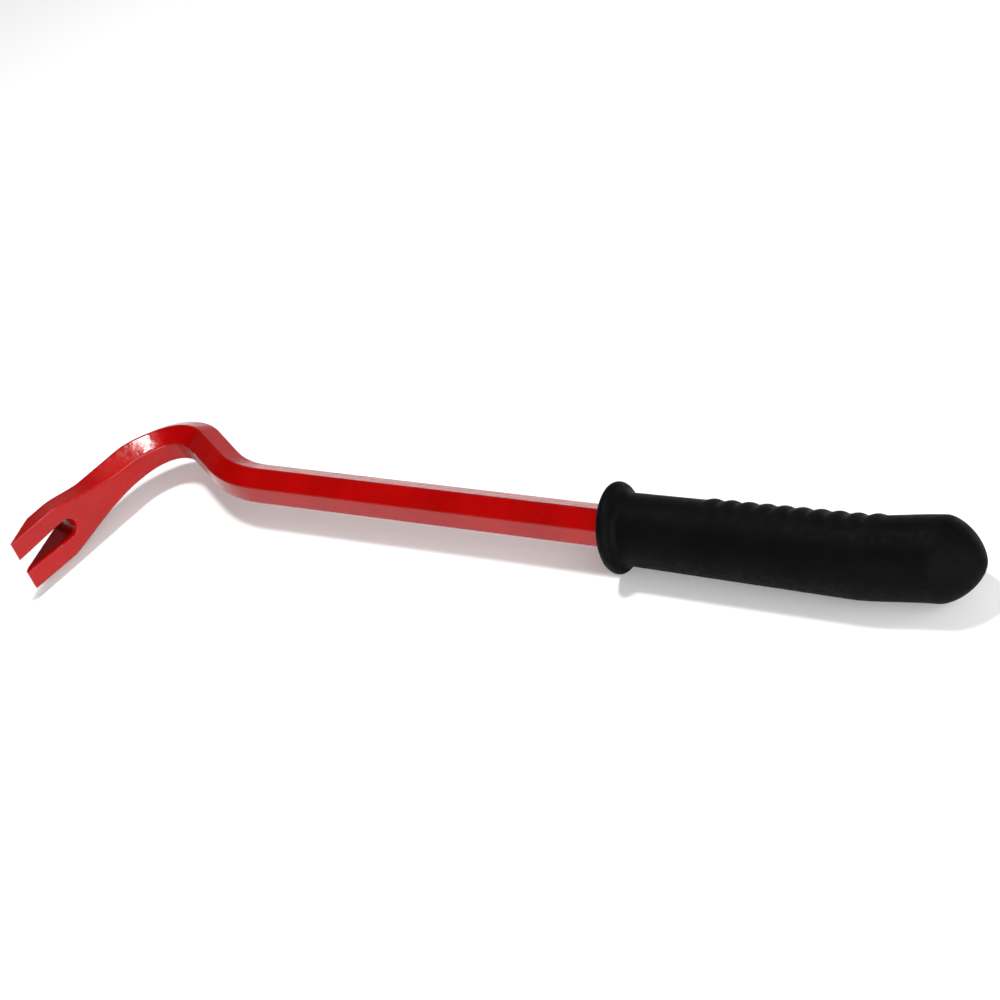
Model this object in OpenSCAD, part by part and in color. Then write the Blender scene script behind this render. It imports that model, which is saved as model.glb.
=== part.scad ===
// Goose-neck pry bar: one forged hexagonal steel bar, split into a nail claw at its bent end,
// with a moulded rubber grip on the other end.
// The tool lies on its side: +X runs from the claw to the grip, +Y is the side that the neck's
// crown rises to, and +Z is up. The origin is at the middle of the tool's box, on the ground.

/* [Shank] */
// Hexagon of the bar stock, across flats
shank_af = 18; // [14:0.5:22]
// Straight bare length between the neck and the grip
shank_length = 208; // [120:1:320]
// How much smaller than the shank the tang inside the grip is ground, each side
tang_relief = 0.1; // [0.1:0.05:0.3]
// How far ahead of the grip the tang begins
tang_lead = 7; // [6:1:12]

/* [Neck] */
// Centre-line radius of the bend that lifts the neck off the shank
rise_radius = 58; // [40:1:90]
// Turn of that bend, in degrees
rise_angle = 31.2; // [15:1:45]
// Straight run between the two bends of the neck
rise_length = 25.8; // [5:0.2:50]
// Centre-line radius of the crown
crown_radius = 24.6; // [18:0.1:40]
// Turn of the crown, in degrees
crown_angle = 70.2; // [60:0.2:90]
// Centre-line radius of the wide bend that leads into the claw
sweep_radius = 40; // [30:0.5:70]
// Turn of that bend, in degrees
sweep_angle = 36.6; // [10:0.2:45]
// Width across the corners that the last bend is spread to by forging
arm_width = 24.2; // [20:0.2:28]

/* [Claw] */
// Straight length from the end of the last bend to the tips
claw_length = 78; // [60:0.5:110]
// Length of the flat blade, from its shoulder to the tips
blade_length = 28; // [20:0.5:40]
// Width of the blade at its shoulder
blade_width = 31.2; // [26:0.2:42]
// Width over the two tips
tip_width = 30.6; // [24:0.2:40]
// Length over which the claw's back is drawn down to the tips
wedge_length = 34; // [28:0.5:45]
// Thickness of the tips
tip_thickness = 1.2; // [1:0.1:3]

/* [Nail slot] */
// Width of the slot between the tips
slot_mouth = 6.6; // [5:0.2:8]
// Width of the round eye at the slot's inner end
slot_eye = 10; // [8:0.2:12]
// Length of the slot from the tips
slot_length = 35; // [26:0.5:42]
// How far the ground bevel widens the slot on the inner face, each side
slot_bevel = 1; // [0.4:0.1:1.6]
// Depth of that bevel
slot_bevel_depth = 2.4; // [1:0.1:4]

/* [Grip] */
// Whole length of the grip
grip_length = 181.5; // [130:0.5:280]
// Diameter of the grip behind its front bead
grip_front_d = 33.4; // [30:0.2:40]
// Diameter of the grip where its butt begins
grip_rear_d = 37; // [32:0.2:44]
// Diameter of the domed butt
butt_d = 38.4; // [34:0.2:46]
// Length of the butt without its dome
butt_length = 36; // [15:1:40]
// Depth of the dome that closes the butt
dome_depth = 19.4; // [14:0.2:24]
// Shape of the dome: 2 is an ellipse, and less is more pointed
dome_power = 1.56; // [1.4:0.02:2]
// Tilt of the butt towards the crown side, in degrees
butt_tilt = 8; // [0:0.5:10]
// Thickness of rubber past the end of the bar
grip_end_wall = 22; // [15:1:40]
// Diameter of the bead that guards the front of the grip
bead_d = 42.6; // [38:0.2:52]
// Radius of the bead's rounded rim
bead_round = 3.8; // [3:0.1:6]
// Tilt of the bead, forwards on the crown side, in degrees
bead_tilt = 8.5; // [0:0.5:12]
// Gap between the bar's flats and the socket in the grip, each side
socket_clearance = 0; // [0:0.05:0.4]

/* [Ribs] */
// Number of finger ribs on the crown side
rib_count = 10; // [4:1:12]
// Distance from the grip's front to the first rib
rib_start = 52; // [40:1:60]
// Distance from the last rib to the dome
rib_end_gap = 26; // [20:1:40]
// Height of a rib above the grip's surface
rib_height = 0.9; // [0.5:0.1:1.4]

/* [Hidden] */
bend_step = 3;
grip_sides = 36;

hex_corner = shank_af / cos(30);
tang_af = shank_af - 2 * tang_relief;
tang_length = grip_length - grip_end_wall;

// The centre line runs from the shank's end towards the claw. Each angle is its heading, turned
// from the shank's own line towards the crown side.
after_rise = rise_angle;
after_crown = after_rise - crown_angle;
after_sweep = after_crown - sweep_angle;

// Steps of the centre line, [towards the claw, towards the crown side]
function arc_step(radius, from, to) =
    radius * sign(to - from) * [sin(to) - sin(from), cos(from) - cos(to)];
function run_step(length, heading) = length * [cos(heading), sin(heading)];

crown_start = arc_step(rise_radius, 0, after_rise) + run_step(rise_length, after_rise);
crown_end = crown_start + arc_step(crown_radius, after_rise, after_crown);
sweep_end = crown_end + arc_step(sweep_radius, after_crown, after_sweep);
tip = sweep_end + run_step(claw_length, after_sweep);

// Box of the tool, from which its origin is worked out
inner_face = -shank_af / 2;
outer_side = [-sin(after_sweep), cos(after_sweep)];
tip_outer = tip + (inner_face + tip_thickness) * outer_side;
heel = tip - run_step(wedge_length, after_sweep) - inner_face * outer_side;
tip_inner = tip + inner_face * outer_side;
crown_top = crown_start[1] + crown_radius * (1 - cos(after_rise)) + shank_af / 2;
low = [-max(tip_outer[0], heel[0]), tip_inner[1], -bead_d / 2];
high = [shank_length + grip_length, crown_top, bead_d / 2];
ground_middle = [(low[0] + high[0]) / 2, (low[1] + high[1]) / 2, low[2]];

module place() {
    translate(-ground_middle) children();
}

// Smooth change from 0 to 1, and a value between two others
function ease(t) = t * t * (3 - 2 * t);
function limited(t) = max(0, min(1, t));
function mix(a, b, t) = a + (b - a) * t;

// A solid through a row of closed rings that all have the same number of points
module loft(rings) {
    sides = len(rings[0]);
    last = len(rings) - 1;
    polyhedron(
        points = [for (ring = rings) each ring],
        faces = concat(
            [[for (i = [sides - 1 : -1 : 0]) i]],
            [for (k = [0 : last - 1], i = [0 : sides - 1])
                let (a = k * sides + i, b = k * sides + (i + 1) % sides)
                each [[a, b, a + sides], [b, b + sides, a + sides]]],
            [[for (i = [0 : sides - 1]) last * sides + i]]));
}

// ---- Forged bar ----

// Half an outline of the bar, from its inner side to its outer side, each point as
// [height above the centre line, distance from the middle plane]. The other half is its mirror.
function hexagon_outline(across_flats) = [
    [-across_flats / 2, across_flats * tan(30) / 2],
    [0, across_flats / cos(30) / 2],
    [across_flats / 2, across_flats * tan(30) / 2]];
stock_outline = hexagon_outline(shank_af);
arm_outline = [for (p = stock_outline) [p[0], p[1] * arm_width / hex_corner]];

// The claw keeps one flat inner face. Behind the blade its sides draw in to the arm's.
function claw_outline(from_tip) =
    let (wedge = limited(from_tip / wedge_length),
         blade = limited(from_tip / blade_length),
         neck = limited((from_tip - blade_length) / (claw_length - blade_length)),
         thick = mix(tip_thickness, shank_af, wedge),
         half = mix(tip_width, blade_width, blade) / 2)
    [[inner_face, mix(half, arm_outline[0][1], ease(mix(neck, sqrt(neck), 0.5)))],
     [inner_face + min(0.92 * thick, shank_af / 2),
         mix(half, arm_outline[1][1], ease(limited(2 * neck)))],
     [inner_face + thick, mix(0.48 * tip_width, arm_outline[2][1], wedge)]];

// A ring of the bar, where its centre line has a place and a heading
function bar_ring(place, heading, outline) = [
    for (side = [1, -1], i = [0 : 2])
        let (p = outline[side > 0 ? i : 2 - i])
        [place[0] - p[0] * sin(heading), place[1] + p[0] * cos(heading), side * p[1]]];

function bend_rings(start, radius, from, to, end_outline = stock_outline) =
    let (steps = ceil(abs(to - from) / bend_step))
    [for (i = [0 : steps])
        let (heading = mix(from, to, i / steps))
        bar_ring(start + arc_step(radius, from, heading), heading,
            mix(stock_outline, end_outline, ease(i / steps)))];

module bar_blank() {
    neck_steps = 10;
    wedge_steps = 17;
    tang_outline = hexagon_outline(tang_af);
    tang_start = tang_lead - shank_length;
    claw_places = concat(
        [for (i = [1 : neck_steps]) mix(claw_length, wedge_length, i / neck_steps)],
        [for (i = [1 : wedge_steps]) mix(wedge_length, 0, i / wedge_steps)]);
    loft(concat(
        [bar_ring([-shank_length - tang_length, 0], 0, tang_outline),
         bar_ring([tang_start - tang_relief, 0], 0, tang_outline),
         bar_ring([tang_start, 0], 0, stock_outline)],
        bend_rings([0, 0], rise_radius, 0, after_rise),
        bend_rings(crown_start, crown_radius, after_rise, after_crown),
        bend_rings(crown_end, sweep_radius, after_crown, after_sweep, arm_outline),
        [for (from_tip = claw_places)
            bar_ring(tip - run_step(from_tip, after_sweep), after_sweep, claw_outline(from_tip))]));
}

// Outline of the nail slot, seen on the blade, widened all round by an amount. It is drawn from
// the tips, which are at x = 0.
module slot_outline(wider) {
    eye = slot_eye / 2 + wider;
    mouth = slot_mouth / 2 + wider;
    eye_x = slot_eye / 2 - slot_length;
    past_tips = 1;
    translate([eye_x, 0]) circle(r = eye, $fn = 48);
    polygon([[eye_x, -eye], [past_tips, -mouth], [past_tips, mouth], [eye_x, eye]]);
}

module nail_slot() {
    slice = 1;
    translate(tip) rotate(after_sweep) {
        translate([0, shank_af, 0])
            rotate([90, 0, 0]) linear_extrude(2 * shank_af) slot_outline(0);
        hull() {
            translate([0, inner_face + slot_bevel_depth + slice, 0])
                rotate([90, 0, 0]) linear_extrude(slice) slot_outline(0);
            translate([0, inner_face, 0])
                rotate([90, 0, 0]) linear_extrude(slice) slot_outline(slot_bevel);
        }
    }
}

module forged_bar() {
    color([0.66, 0.05, 0.04]) place() rotate([0, 180, 0]) difference() {
        bar_blank();
        nail_slot();
    }
}

// ---- Rubber grip ----

dome_start = grip_length - dome_depth;
butt_start = dome_start - butt_length;
bead_core = bead_d / 2 - bead_round;
rib_end = dome_start - rib_end_gap;
rib_pitch = (rib_end - rib_start) / (rib_count - 0.5);

function body_radius(x) =
    x < butt_start
    ? mix(grip_front_d, grip_rear_d, x / butt_start) / 2
    : mix(grip_rear_d, butt_d, (x - butt_start) / butt_length) / 2;

// The butt leans towards the crown side, and its dome stays where the lean ends
function lean(x) = tan(butt_tilt) * butt_length * limited((x - butt_start) / butt_length);

// The bead slants forwards on the crown side, and the slant fades out before the first rib
function slant(x) = tan(bead_tilt) * limited((rib_start - rib_pitch / 2 - x) / (rib_start / 2));

// Ribs stand up on the crown side, where the angle is 0, and fade out down both sides
function rib(x, angle) =
    x < rib_start - rib_pitch / 2 || x > rib_end
    ? 0
    : rib_height * (1 + cos(360 * (x - rib_start) / rib_pitch)) / 2
        * ease(limited(1.2 * cos(angle) + 0.4));

function grip_ring(x, radius) = [
    for (i = [0 : grip_sides - 1])
        let (angle = 360 * i / grip_sides, r = radius + rib(x, angle))
        [x - slant(x) * r * cos(angle), lean(x) + r * cos(angle), r * sin(angle)]];

module grip_blank() {
    bead_back = asin((body_radius(2 * bead_round) - bead_core) / bead_round);
    bead_steps = 8;
    rib_steps = 4;
    butt_steps = 3;
    dome_steps = 7;
    dome_flat = 4;
    loft(concat(
        [for (i = [0 : bead_steps])
            let (a = mix(0, 180 - bead_back, i / bead_steps))
            grip_ring(bead_round * (1 - cos(a)), bead_core + bead_round * sin(a))],
        [for (i = [-rib_steps / 2 : (rib_count - 0.5) * rib_steps])
            let (x = rib_start + i * rib_pitch / rib_steps)
            grip_ring(x, body_radius(x))],
        [for (i = [1 : butt_steps])
            let (x = rib_end + i * rib_end_gap / butt_steps)
            grip_ring(x, body_radius(x))],
        [for (i = [1 : dome_steps])
            let (t = sin(mix(0, 90 - dome_flat, i / dome_steps)))
            grip_ring(dome_start + dome_depth * t / cos(dome_flat),
                butt_d / 2 * pow(1 - pow(t, dome_power), 1 / dome_power))]));
}

module rubber_grip() {
    color([0.09, 0.09, 0.10]) place() translate([shank_length, 0, 0]) difference() {
        grip_blank();
        translate([-bead_d / 2, 0, 0]) rotate([90, 0, 90])
            linear_extrude(bead_d / 2 + tang_length + socket_clearance)
                rotate(30) circle(d = (tang_af + 2 * socket_clearance) / cos(30), $fn = 6);
    }
}

forged_bar();
rubber_grip();
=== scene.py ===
import math

import bmesh
import bpy
from mathutils import Matrix, Vector


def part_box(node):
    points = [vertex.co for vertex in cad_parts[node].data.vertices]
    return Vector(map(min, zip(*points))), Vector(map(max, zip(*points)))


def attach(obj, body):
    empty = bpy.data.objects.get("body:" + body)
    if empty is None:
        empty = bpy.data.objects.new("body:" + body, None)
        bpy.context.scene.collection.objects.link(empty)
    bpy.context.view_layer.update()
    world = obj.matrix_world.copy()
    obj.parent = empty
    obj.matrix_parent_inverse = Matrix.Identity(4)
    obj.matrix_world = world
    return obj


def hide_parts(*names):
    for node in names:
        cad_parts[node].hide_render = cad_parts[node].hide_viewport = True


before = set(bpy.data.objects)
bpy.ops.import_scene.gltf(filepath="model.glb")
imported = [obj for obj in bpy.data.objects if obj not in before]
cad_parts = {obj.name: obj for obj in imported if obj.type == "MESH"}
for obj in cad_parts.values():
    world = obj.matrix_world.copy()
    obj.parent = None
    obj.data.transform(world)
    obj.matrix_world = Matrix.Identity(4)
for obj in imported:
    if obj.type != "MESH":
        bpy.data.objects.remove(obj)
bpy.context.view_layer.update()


# ---- Forged bar ----
# One length of hexagonal carbon steel, 18 mm across flats, bent hot into a goose neck with a
# flat on the inside of its bends. One end is drawn out flat, 31 mm wide, and slotted as a nail
# claw, and the other runs on as a tang inside the grip. All of it is dipped in gloss red enamel.

mm = 0.001

across_flats = 18 * mm
corner_round = 0.9 * mm
tang_length = 159 * mm
shank_length = 208 * mm
rise_radius, rise_turn = 58 * mm, math.radians(31.2)
rise_length = 25.8 * mm
crown_radius, crown_turn = 24.6 * mm, math.radians(-70.2)
sweep_radius, sweep_turn = 40 * mm, math.radians(-36.6)
arm_width = 24.2 * mm
claw_length = 78 * mm

blade_length = 28 * mm
blade_half_width = 15.6 * mm
tip_half_width = 15.3 * mm
wedge_length = 34 * mm
tip_thickness = 1.2 * mm

slot_length = 35 * mm
slot_eye_radius = 5 * mm
slot_mouth_half = 3.3 * mm
slot_bevel = 1 * mm
slot_bevel_depth = 2.4 * mm

across_corners = across_flats / math.cos(math.radians(30))
flat_width = across_flats * math.tan(math.radians(30))
inner_height = -across_flats / 2
arm_spread = arm_width / across_corners

grip_low, grip_high = (Vector(corner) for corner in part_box("rubber_grip"))
axis_z = (grip_low.z + grip_high.z) / 2
axis_y = grip_low.y + (grip_high.z - grip_low.z) / 2
grip_length = 181.5 * mm
grip_front = grip_high.x - grip_length


def travel(heading):
    """The way the bar runs on towards the claw, at a heading turned towards the crown side."""
    return Vector((-math.cos(heading), math.sin(heading), 0))


def crown_side(heading):
    return Vector((math.sin(heading), math.cos(heading), 0))


def mix(a, b, t):
    return a + (b - a) * t


def ease(t):
    t = min(1, max(0, t))
    return t * t * (3 - 2 * t)


class BarMaker:
    """Draws a closed ring of edges along the bar's centre line."""

    def __init__(self, mesh, place):
        self.mesh = mesh
        self.place = place
        self.heading = 0.0
        self.ring = mesh.edges[:]

    def run(self, length, steps=1):
        step = travel(self.heading) * length / steps
        for _ in range(steps):
            made = bmesh.ops.extrude_edge_only(self.mesh, edges=self.ring)["geom"]
            verts = [g for g in made if isinstance(g, bmesh.types.BMVert)]
            bmesh.ops.translate(self.mesh, verts=verts, vec=step)
            self.ring = [g for g in made if isinstance(g, bmesh.types.BMEdge)
                         and all(v in verts for v in g.verts)]
        self.place = self.place + step * steps

    def bend(self, radius, turn, steps):
        side = math.copysign(1, turn)
        centre = self.place + crown_side(self.heading) * radius * side
        verts = list({v for e in self.ring for v in e.verts})
        last = bmesh.ops.spin(
            self.mesh, geom=verts + self.ring, cent=centre, axis=(0, 0, 1),
            angle=-turn, steps=steps, use_duplicate=False)["geom_last"]
        self.ring = [g for g in last if isinstance(g, bmesh.types.BMEdge)]
        self.heading += turn
        self.place = centre - crown_side(self.heading) * radius * side

    def spread(self, times):
        bmesh.ops.scale(
            self.mesh, verts=list({v for e in self.ring for v in e.verts}), vec=(1, 1, times),
            space=Matrix.Translation(-self.place))


def hexagon_ring(mesh):
    """The stock's outline, with its corners rolled round, standing across the X axis."""
    bmesh.ops.create_circle(mesh, segments=6, radius=across_corners / 2, cap_ends=False)
    for angle, axis in ((30, "Z"), (90, "Y")):
        bmesh.ops.rotate(
            mesh, verts=mesh.verts, matrix=Matrix.Rotation(math.radians(angle), 3, axis))
    bmesh.ops.bevel(
        mesh, geom=mesh.verts[:], affect="VERTICES", offset=corner_round, offset_type="OFFSET",
        segments=4, profile=0.5, material=-1)
    edge = mesh.verts.layers.float.new("edge")
    for vert in mesh.verts:
        reach = math.hypot(vert.co.y, vert.co.z) / (across_corners / 2)
        vert[edge] = ease((reach - 0.965) / 0.025)


def claw_corners(from_tip):
    """Inner, side and outer corner of half the claw's outline, each as (height, half width)."""
    wedge = min(1, from_tip / wedge_length)
    blade = min(1, from_tip / blade_length)
    neck = max(0, (from_tip - blade_length) / (claw_length - blade_length))
    half = mix(tip_half_width, blade_half_width, blade)
    thick = mix(tip_thickness, across_flats, wedge)
    flat, corner = arm_spread * flat_width / 2, arm_spread * across_corners / 2
    return (
        (inner_height, mix(half, flat, ease(mix(neck, math.sqrt(neck), 0.5)))),
        (inner_height + min(0.92 * thick, across_flats / 2), mix(half, corner, ease(2 * neck))),
        (inner_height + thick, mix(0.96 * tip_half_width, flat, wedge)))


def forge_claw(mesh, tip, heading):
    """Draw the plain stock behind the tips out into the flat, wide blade."""
    along, out = travel(heading), crown_side(heading)
    stock = claw_corners(claw_length)
    for vert in mesh.verts:
        from_tip = (tip - vert.co).dot(along)
        if from_tip > claw_length - 1e-6 or vert.co.x > grip_front - shank_length:
            continue
        height = (vert.co - tip).dot(out)
        width = vert.co.z - axis_z
        if abs(height) > across_flats:
            continue
        side = math.copysign(1, width)
        nearest = min(range(3), key=lambda i: math.hypot(
            height - stock[i][0], abs(width) - stock[i][1]))
        corner = claw_corners(max(0, from_tip))[nearest]
        shrink = mix(0.3, 1, ease(from_tip / wedge_length))
        new_height = corner[0] + shrink * (height - stock[nearest][0])
        new_width = corner[1] + shrink * (abs(width) - stock[nearest][1])
        vert.co = tip - along * from_tip + out * new_height
        vert.co.z = axis_z + side * new_width


def new_object(name, mesh):
    if mesh.calc_volume(signed=True) < 0:
        bmesh.ops.reverse_faces(mesh, faces=mesh.faces)
    data = bpy.data.meshes.new(name)
    mesh.to_mesh(data)
    mesh.free()
    piece = bpy.data.objects.new(name, data)
    bpy.context.scene.collection.objects.link(piece)
    return piece


bar_mesh = bmesh.new()
hexagon_ring(bar_mesh)
tang_end = Vector((grip_front + tang_length, axis_y, axis_z))
bmesh.ops.translate(bar_mesh, verts=bar_mesh.verts, vec=tang_end)
bar_maker = BarMaker(bar_mesh, tang_end)
bmesh.ops.edgeloop_fill(bar_mesh, edges=bar_maker.ring)
bar_maker.run(tang_length)
bar_maker.run(shank_length, 4)
bar_maker.bend(rise_radius, rise_turn, 18)
bar_maker.run(rise_length, 2)
bar_maker.bend(crown_radius, crown_turn, 40)
for i in range(16):
    bar_maker.bend(sweep_radius, sweep_turn / 16, 1)
    bar_maker.spread(mix(1, arm_spread, ease((i + 1) / 16)) / mix(1, arm_spread, ease(i / 16)))
bar_maker.run(claw_length - wedge_length, 22)
bar_maker.run(wedge_length, 17)
bmesh.ops.edgeloop_fill(bar_mesh, edges=bar_maker.ring)
claw_tip, claw_heading = bar_maker.place, bar_maker.heading
forge_claw(bar_mesh, claw_tip, claw_heading)
bmesh.ops.remove_doubles(bar_mesh, verts=bar_mesh.verts, dist=0.001 * mm)
bmesh.ops.recalc_face_normals(bar_mesh, faces=bar_mesh.faces)
forged_bar = new_object("forged_bar_red", bar_mesh)


def slot_ring(mesh, wider, height):
    """The nail slot's outline at a height through the blade: a round eye and a narrower mouth."""
    along, out = travel(claw_heading), crown_side(claw_heading)
    eye = slot_eye_radius + wider
    eye_place = claw_tip - along * (slot_length - slot_eye_radius) + out * height
    steps = 24
    verts = []
    for i in range(steps + 1):
        turn = math.pi * (0.5 + i / steps)
        verts.append(mesh.verts.new(
            eye_place + along * eye * math.cos(turn) + Vector((0, 0, eye * math.sin(turn)))))
    past_tips = claw_tip + along * 4 * mm + out * height
    for side in (-1, 1):
        verts.append(mesh.verts.new(past_tips + Vector((0, 0, side * (slot_mouth_half + wider)))))
    return [mesh.edges.new((verts[i - 1], verts[i])) for i in range(len(verts))]


slot_mesh = bmesh.new()
slot_levels = (
    (slot_bevel + 1 * mm, inner_height - 1 * mm),
    (slot_bevel + 0.3 * mm, inner_height - 0.02 * mm),
    (slot_bevel + 0.08 * mm, inner_height + 0.12 * mm),
    (slot_bevel - 0.06 * mm, inner_height + 0.35 * mm),
    (0.12 * mm, inner_height + slot_bevel_depth - 0.4 * mm),
    (0, inner_height + slot_bevel_depth),
    (0, across_flats))
slot_rings = [slot_ring(slot_mesh, wider, height) for wider, height in slot_levels]
for lower, upper in zip(slot_rings, slot_rings[1:]):
    bmesh.ops.bridge_loops(slot_mesh, edges=lower + upper)
bmesh.ops.edgeloop_fill(slot_mesh, edges=slot_rings[0])
bmesh.ops.edgeloop_fill(slot_mesh, edges=slot_rings[-1])
bmesh.ops.recalc_face_normals(slot_mesh, faces=slot_mesh.faces)
slot_cutter = new_object("slot_cutter", slot_mesh)

cut = forged_bar.modifiers.new("nail slot", "BOOLEAN")
cut.operation = "DIFFERENCE"
cut.solver = "EXACT"
cut.object = slot_cutter
bpy.context.view_layer.update()
cut_bar = forged_bar.evaluated_get(bpy.context.evaluated_depsgraph_get())
cut_data = bpy.data.meshes.new_from_object(cut_bar)
forged_bar.modifiers.clear()
forged_bar.data = cut_data
bpy.data.objects.remove(slot_cutter)

for polygon in forged_bar.data.polygons:
    polygon.use_smooth = True
forged_bar.data.set_sharp_from_angle(angle=math.radians(38))
# Painted shade: the slot's walls get a face attribute that darkens them more and more towards the
# eye, standing in for the shade inside the recess.
painted_slot_shade = forged_bar.data.attributes.new("slot", "FLOAT", "FACE")
claw_along, claw_out = travel(claw_heading), crown_side(claw_heading)
for polygon in forged_bar.data.polygons:
    from_tip = (claw_tip - polygon.center).dot(claw_along)
    if (abs(polygon.center.z - axis_z) < slot_eye_radius + 0.02 * mm and from_tip < slot_length
            and abs(polygon.normal.dot(claw_out)) < 0.3 and polygon.normal.dot(claw_along) < 0.99):
        painted_slot_shade.data[polygon.index].value = ease(from_tip / slot_length)
even_normals = forged_bar.modifiers.new("flat faces stay flat", "WEIGHTED_NORMAL")
even_normals.keep_sharp = True


class Nodes:
    """Lays out a node tree row by row."""

    def __init__(self, tree):
        self.tree = tree
        self.count = 0

    def add(self, kind, inputs=(), **settings):
        node = self.tree.nodes.new(kind)
        node.location = (self.count % 8 * 200, -self.count // 8 * 300)
        self.count += 1
        for key, value in settings.items():
            setattr(node, key, value)
        for key, value in dict(inputs).items():
            if isinstance(value, bpy.types.NodeSocket):
                self.tree.links.new(value, node.inputs[key])
            else:
                node.inputs[key].default_value = value
        return node


def noise_group():
    """Broad, middling and fine unevenness over a surface, each about 0 to 1."""
    group = bpy.data.node_groups.new("uneven surface", "ShaderNodeTree")
    nodes = Nodes(group)
    for name, scale in (("Broad", 30), ("Middle", 160), ("Fine", 900)):
        socket = group.interface.new_socket(
            name + " Scale", in_out="INPUT", socket_type="NodeSocketFloat")
        socket.default_value = scale
        group.interface.new_socket(name, in_out="OUTPUT", socket_type="NodeSocketFloat")
    start = nodes.add("NodeGroupInput")
    end = nodes.add("NodeGroupOutput")
    place = nodes.add("ShaderNodeTexCoord")
    for name, detail in (("Broad", 3), ("Middle", 2), ("Fine", 2)):
        noise = nodes.add("ShaderNodeTexNoise", {
            "Vector": place.outputs["Object"], "Scale": start.outputs[name + " Scale"],
            "Detail": detail})
        spread = nodes.add("ShaderNodeMapRange", {
            "Value": noise.outputs["Fac"], "From Min": 0.3, "From Max": 0.7})
        group.links.new(spread.outputs["Result"], end.inputs[name])
    return group


uneven_surface = noise_group()


def enamel_material():
    material = bpy.data.materials.new("gloss red enamel")
    material.use_nodes = True
    nodes = Nodes(material.node_tree)
    shader = material.node_tree.nodes["Principled BSDF"]
    link = material.node_tree.links.new
    uneven = nodes.add("ShaderNodeGroup", node_tree=uneven_surface)
    uneven.inputs["Broad Scale"].default_value = 34
    uneven.inputs["Middle Scale"].default_value = 210
    uneven.inputs["Fine Scale"].default_value = 1100
    edge = nodes.add("ShaderNodeAttribute", attribute_name="edge")
    thin = nodes.add("ShaderNodeMath", {0: edge.outputs["Fac"], 1: uneven.outputs["Middle"]},
                     operation="MULTIPLY")
    shade = nodes.add("ShaderNodeMix", {
        "Factor": uneven.outputs["Broad"], "A": (0.208, 0.0008, 0.0008, 1),
        "B": (0.26, 0.0014, 0.0012, 1)}, data_type="RGBA")
    worn = nodes.add("ShaderNodeMix", {
        "Factor": thin.outputs["Value"], "A": shade.outputs["Result"],
        "B": (0.09, 0.001, 0.001, 1)}, data_type="RGBA")
    # Painted shade: the slot's walls turn dark red towards the eye, standing in for the shade
    # inside the slot.
    slot_shade_mask = nodes.add("ShaderNodeAttribute", attribute_name="slot")
    with_slot_shade = nodes.add("ShaderNodeMix", {
        "Factor": slot_shade_mask.outputs["Fac"], "A": worn.outputs["Result"],
        "B": (0.11, 0.001, 0.001, 1)}, data_type="RGBA")
    link(with_slot_shade.outputs["Result"], shader.inputs["Base Color"])
    gloss = nodes.add("ShaderNodeMapRange", {
        "Value": uneven.outputs["Middle"], "To Min": 0.12, "To Max": 0.22})
    link(gloss.outputs["Result"], shader.inputs["Roughness"])
    orange_peel = nodes.add("ShaderNodeBump", {
        "Height": uneven.outputs["Fine"], "Strength": 0.5, "Distance": 0.00003})
    hammered = nodes.add("ShaderNodeBump", {
        "Height": uneven.outputs["Middle"], "Strength": 0.5, "Distance": 0.00017,
        "Normal": orange_peel.outputs["Normal"]})
    link(hammered.outputs["Normal"], shader.inputs["Normal"])
    shader.inputs["IOR"].default_value = 1.5
    shader.inputs["Specular IOR Level"].default_value = 0.26
    return material


forged_bar.data.materials.append(enamel_material())
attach(forged_bar, "root")
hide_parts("forged_bar")


# ---- Rubber grip ----
# Black rubber moulded over the tang, 182 mm long and 33 to 38 mm thick. A slanting bead guards
# the hand in front, ten low finger ribs cross its crown side, and its butt leans and is domed.

butt_length = 36 * mm
dome_depth, dome_power = 19.4 * mm, 1.56
butt_lean = math.radians(8)
front_radius, rear_radius, butt_radius = 16.7 * mm, 18.5 * mm, 19.2 * mm
bead_radius, bead_round = 21.3 * mm, 3.8 * mm
bead_slant = math.radians(8.5)
rib_count = 10
rib_start = 52 * mm
rib_height = 0.9 * mm
dome_start = grip_length - dome_depth
butt_start = dome_start - butt_length
rib_end = dome_start - 26 * mm
rib_pitch = (rib_end - rib_start) / (rib_count - 0.5)


def body_radius(x):
    if x < butt_start:
        return mix(front_radius, rear_radius, x / butt_start)
    return mix(rear_radius, butt_radius, min(1, (x - butt_start) / butt_length))


def grip_profile():
    """Half the grip's outline from its front to the top of its dome, as (length, radius)."""
    core = bead_radius - bead_round
    points = [(0, 0.55 * core), (0, 0.8 * core)]
    for i in range(15):
        turn = math.radians(mix(0, 165, i / 14))
        points.append((bead_round * (1 - math.cos(turn)), core + bead_round * math.sin(turn)))
    foot_x, foot_radius = points[-1]
    for i in range(1, 7):
        t = i / 6
        x = foot_x + 3 * mm * t
        points.append((x, mix(foot_radius, body_radius(x), math.sin(t * math.pi / 2))))
    body_start, ribs_begin = points[-1][0], rib_start - rib_pitch / 2
    for i in range(1, 20):
        x = mix(body_start, ribs_begin, i / 20)
        points.append((x, body_radius(x)))
    rib_steps = int(16 * (rib_count - 0.5)) + 8
    for i in range(rib_steps + 1):
        x = mix(ribs_begin, rib_end, i / rib_steps)
        points.append((x, body_radius(x)))
    for i in range(1, 13):
        x = mix(rib_end, dome_start, i / 12)
        points.append((x, body_radius(x)))
    for i in range(1, 24):
        t = math.sin(i / 24 * math.pi / 2)
        radius = butt_radius * (1 - t ** dome_power) ** (1 / dome_power)
        points.append((dome_start + dome_depth * t, radius))
    points.append((grip_length, 0))
    return points


def rib_rise(x, angle):
    if not rib_start - rib_pitch / 2 < x < rib_end:
        return 0
    crest = (1 + math.cos(2 * math.pi * (x - rib_start) / rib_pitch)) / 2
    return rib_height * crest * ease(1.2 * math.cos(angle) + 0.4)


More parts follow.
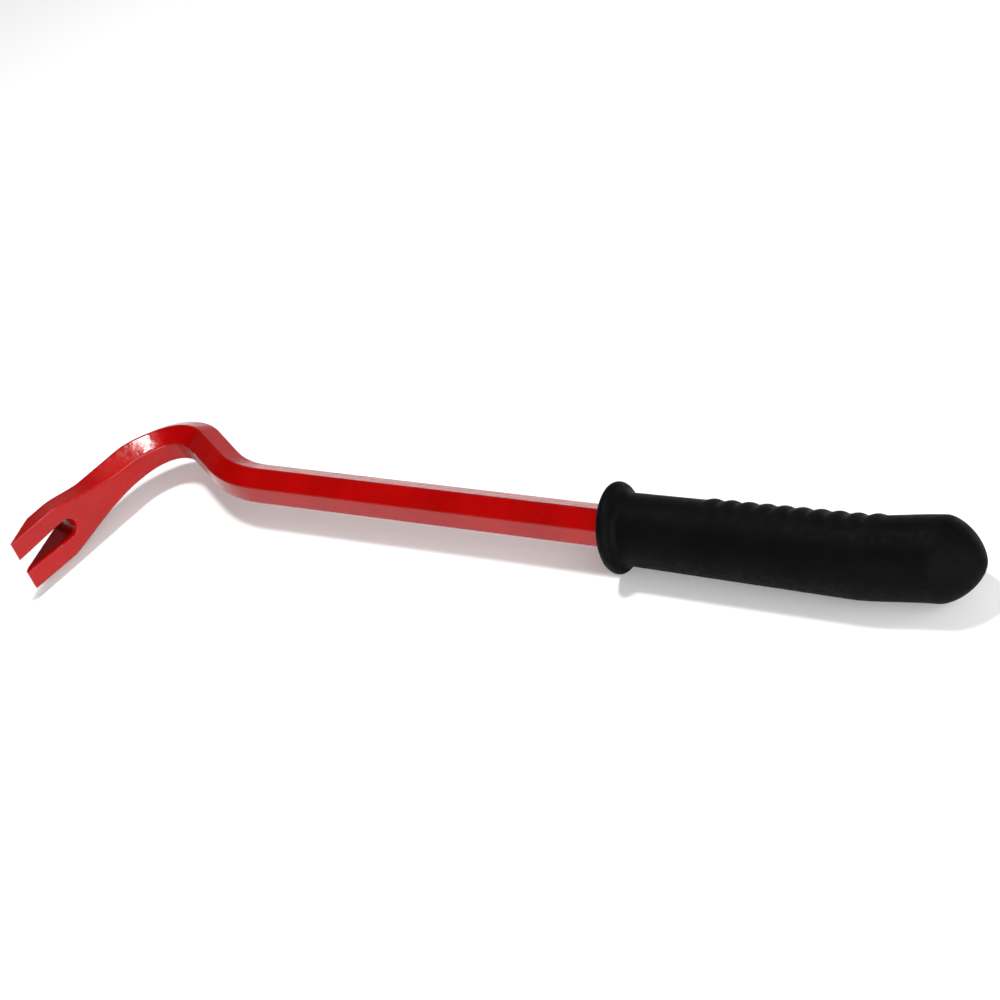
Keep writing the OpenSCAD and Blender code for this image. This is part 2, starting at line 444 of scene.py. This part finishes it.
socket_depth = tang_length + 1 * mm
socket_reach = across_corners / 2 + 0.1 * mm
grip_mesh = bmesh.new()
rib_layer = grip_mesh.verts.layers.float.new("crest")
grip_axis = Vector((grip_front, axis_y, axis_z))
grip_line = [grip_mesh.verts.new((x, radius, 0)) for x, radius in grip_profile()]
grip_edges = [grip_mesh.edges.new(pair) for pair in zip(grip_line, grip_line[1:])]
bmesh.ops.spin(
    grip_mesh, geom=grip_line + grip_edges, cent=(0, 0, 0), axis=(1, 0, 0),
    angle=2 * math.pi, steps=96, use_merge=True, use_duplicate=False)
bmesh.ops.remove_doubles(grip_mesh, verts=grip_mesh.verts, dist=0.001 * mm)

socket_ring = [e for e in grip_mesh.edges if e.is_boundary]
for depth in (0, socket_depth):
    if depth:
        made = bmesh.ops.extrude_edge_only(grip_mesh, edges=socket_ring)["geom"]
        socket_ring = [g for g in made if isinstance(g, bmesh.types.BMEdge) and g.is_boundary]
    for vert in {v for e in socket_ring for v in e.verts}:
        angle = math.atan2(vert.co.z, vert.co.y)
        off_flat = (math.degrees(angle) + 30) % 60 - 30
        reach = across_flats / 2 / math.cos(math.radians(off_flat))
        vert.co = (depth, reach * math.cos(angle), reach * math.sin(angle))
bmesh.ops.edgeloop_fill(grip_mesh, edges=socket_ring)

for vert in grip_mesh.verts:
    x, y, z = vert.co
    radius, angle = math.hypot(y, z), math.atan2(z, y)
    if radius < socket_reach and 0.001 * mm < x < socket_depth + 1 * mm:
        vert.co = grip_axis + vert.co
        continue
    rise = rib_rise(x, angle)
    vert[rib_layer] = rise / rib_height
    radius += rise
    fade = min(1, max(0, (rib_start - rib_pitch / 2 - x) / (rib_start / 2)))
    slanted = x - math.tan(bead_slant) * fade * radius * math.cos(angle)
    along_butt = min(1, max(0, (x - butt_start) / butt_length))
    lean = math.tan(butt_lean) * butt_length * mix(along_butt, ease(along_butt), 0.4)
    vert.co = grip_axis + Vector(
        (slanted, lean + radius * math.cos(angle), radius * math.sin(angle)))
bmesh.ops.recalc_face_normals(grip_mesh, faces=grip_mesh.faces)
rubber_grip = new_object("rubber_grip_black", grip_mesh)
for polygon in rubber_grip.data.polygons:
    polygon.use_smooth = True
rubber_grip.data.set_sharp_from_angle(angle=math.radians(50))


def rubber_material():
    material = bpy.data.materials.new("matte black rubber")
    material.use_nodes = True
    nodes = Nodes(material.node_tree)
    shader = material.node_tree.nodes["Principled BSDF"]
    link = material.node_tree.links.new
    uneven = nodes.add("ShaderNodeGroup", node_tree=uneven_surface)
    uneven.inputs["Broad Scale"].default_value = 45
    uneven.inputs["Middle Scale"].default_value = 300
    uneven.inputs["Fine Scale"].default_value = 1700
    crest = nodes.add("ShaderNodeAttribute", attribute_name="crest")
    shade = nodes.add("ShaderNodeMix", {
        "Factor": uneven.outputs["Broad"], "A": (0.0005, 0.0005, 0.0006, 1),
        "B": (0.0014, 0.0014, 0.0016, 1)}, data_type="RGBA")
    handled = nodes.add("ShaderNodeMix", {
        "Factor": crest.outputs["Fac"], "A": shade.outputs["Result"],
        "B": (0.0030, 0.0030, 0.0033, 1)}, data_type="RGBA")
    link(handled.outputs["Result"], shader.inputs["Base Color"])
    dull = nodes.add("ShaderNodeMapRange", {
        "Value": uneven.outputs["Middle"], "To Min": 0.52, "To Max": 0.68})
    link(dull.outputs["Result"], shader.inputs["Roughness"])
    grain = nodes.add("ShaderNodeBump", {
        "Height": uneven.outputs["Fine"], "Strength": 0.6, "Distance": 0.00008})
    link(grain.outputs["Normal"], shader.inputs["Normal"])
    shader.inputs["IOR"].default_value = 1.5
    shader.inputs["Specular IOR Level"].default_value = 0.04
    return material


rubber_grip.data.materials.append(rubber_material())
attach(rubber_grip, "root")
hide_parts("rubber_grip")


# ---- Studio ----
# A plain pale floor, soft lights and the camera.

def plain_material(name, colour, roughness):
    material = bpy.data.materials.new(name)
    material.use_nodes = True
    shader = material.node_tree.nodes["Principled BSDF"]
    shader.inputs["Base Color"].default_value = (*colour, 1)
    shader.inputs["Roughness"].default_value = roughness
    return material


floor_mesh = bmesh.new()
bmesh.ops.create_grid(floor_mesh, x_segments=1, y_segments=1, size=6)
floor = new_object("floor", floor_mesh)
floor.data.materials.append(plain_material("pale floor", (0.9, 0.9, 0.9), 0.6))

world = bpy.data.worlds.new("studio")
bpy.context.scene.world = world
world.use_nodes = True
sky = Nodes(world.node_tree)
way = sky.add("ShaderNodeTexCoord")
towards_dark = sky.add("ShaderNodeVectorMath", {
    0: way.outputs["Generated"], 1: (-0.58, -0.12, 0.80)}, operation="DOT_PRODUCT")
brightness = sky.add("ShaderNodeMapRange", {
    "Value": towards_dark.outputs["Value"], "From Min": 0.45, "From Max": 0.92,
    "To Min": 0.50, "To Max": 0.01}, interpolation_type="SMOOTHSTEP")
world.node_tree.nodes["Background"].inputs["Color"].default_value = (1, 1, 1, 1)
world.node_tree.links.new(
    brightness.outputs["Result"], world.node_tree.nodes["Background"].inputs["Strength"])


def soft_light(name, place, aim, size, power):
    lamp = bpy.data.lights.new(name, "AREA")
    lamp.shape = "SQUARE"
    lamp.size = size
    lamp.energy = power
    light = bpy.data.objects.new(name, lamp)
    light.location = place
    light.rotation_euler = (Vector(aim) - Vector(place)).to_track_quat("-Z", "Y").to_euler()
    bpy.context.scene.collection.objects.link(light)


soft_light("overhead", (-0.13, 0.15, 1.2), (-0.2, 0.03, 0), 0.21, 14)
soft_light("right front", (1.9, -0.5, 0.65), (0, 0, 0), 2.2, 58)
soft_light("front fill", (0.5, -1.0, 0.35), (-0.05, 0, 0), 0.7, 10)

camera_data = bpy.data.cameras.new("camera")
camera_data.sensor_width = 36
camera_data.lens = 87.2
camera = bpy.data.objects.new("camera", camera_data)
neck_start = Vector((grip_front - shank_length, axis_y, axis_z))
camera.location = neck_start + Vector((0.7809, -0.6598, 0.6919))
camera.rotation_euler = [math.radians(a) for a in (50.92, 18.23, 29.52)]
bpy.context.scene.collection.objects.link(camera)
bpy.context.scene.camera = camera

bpy.context.scene.view_settings.view_transform = "Standard"
